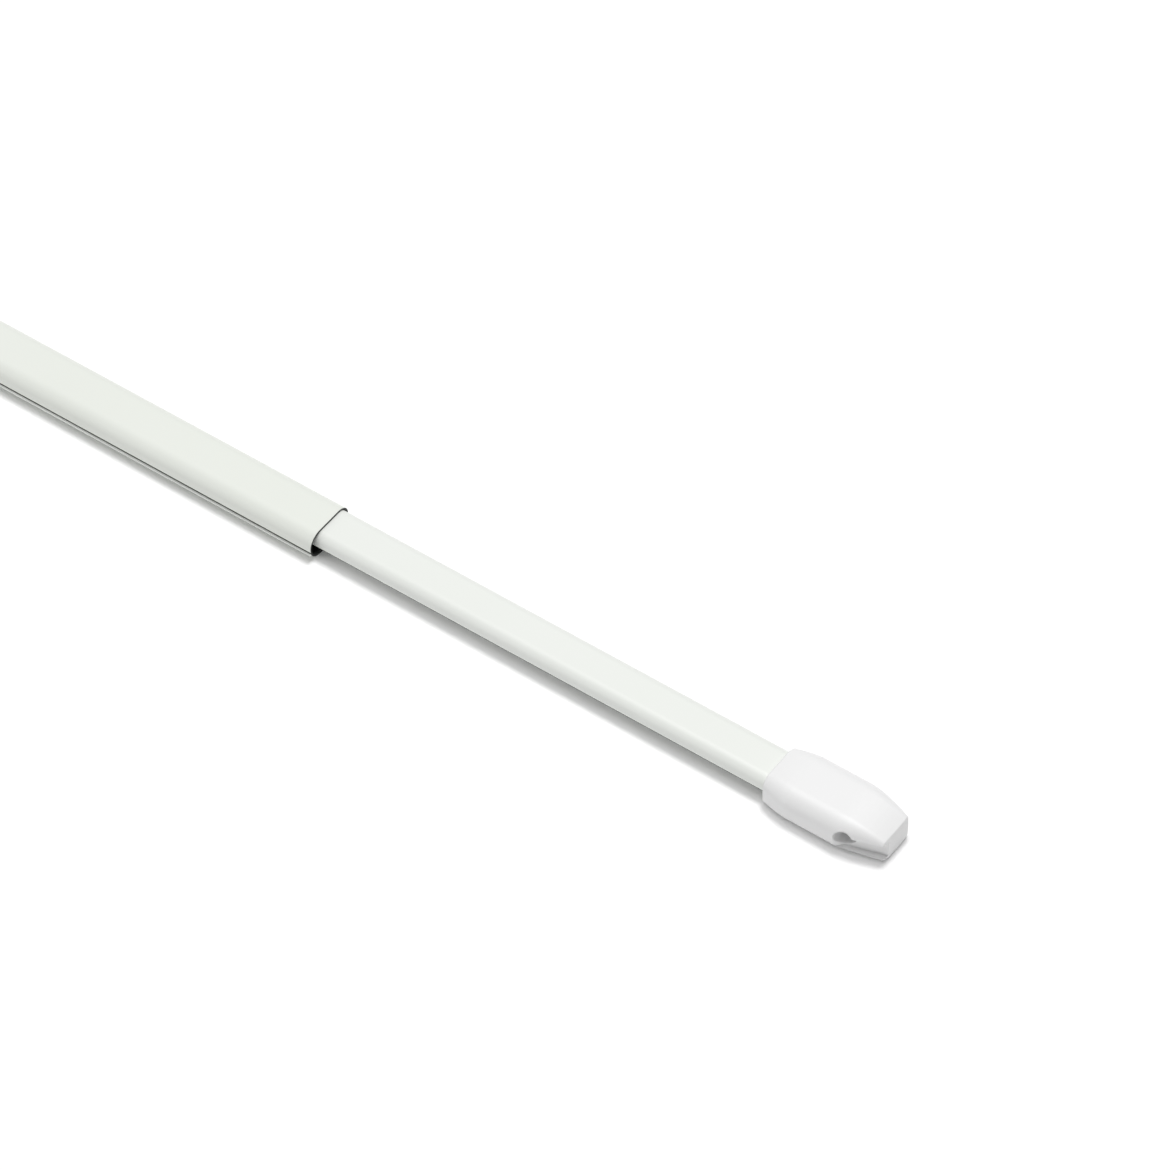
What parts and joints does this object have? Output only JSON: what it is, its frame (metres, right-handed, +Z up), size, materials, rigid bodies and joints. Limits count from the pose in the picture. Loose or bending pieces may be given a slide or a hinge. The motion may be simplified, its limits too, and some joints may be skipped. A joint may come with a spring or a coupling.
{
  "type": "extendable curtain rod",
  "caption": "Flat oval telescoping curtain rod in white painted steel, with tapered plastic end caps that take a hook on either narrow side.",
  "frame": {"origin": "on the floor, under the middle of the rod's bounding box as it lies on its wide face", "axes": "+X along the rod towards the cap of the narrow tube, +Y across it, +Z up, out of the wide face"},
  "size_m": [0.4956, 0.0126, 0.0069],
  "materials": {
    "white_painted_steel": "satin",
    "white_plastic": "satin"
  },
  "bodies": {
    "outer_section": {"outer_tube": "white_painted_steel", "outer_end_cap": "white_plastic"},
    "inner_section": {"inner_tube": "white_painted_steel", "inner_end_cap": "white_plastic"}
  },
  "joints": [
    {"name": "extension_slide", "type": "slide", "parent": "outer_section", "child": "inner_section", "axis": [1, 0, 0], "range_m": [-0.0956, 0.2044]}
  ]
}
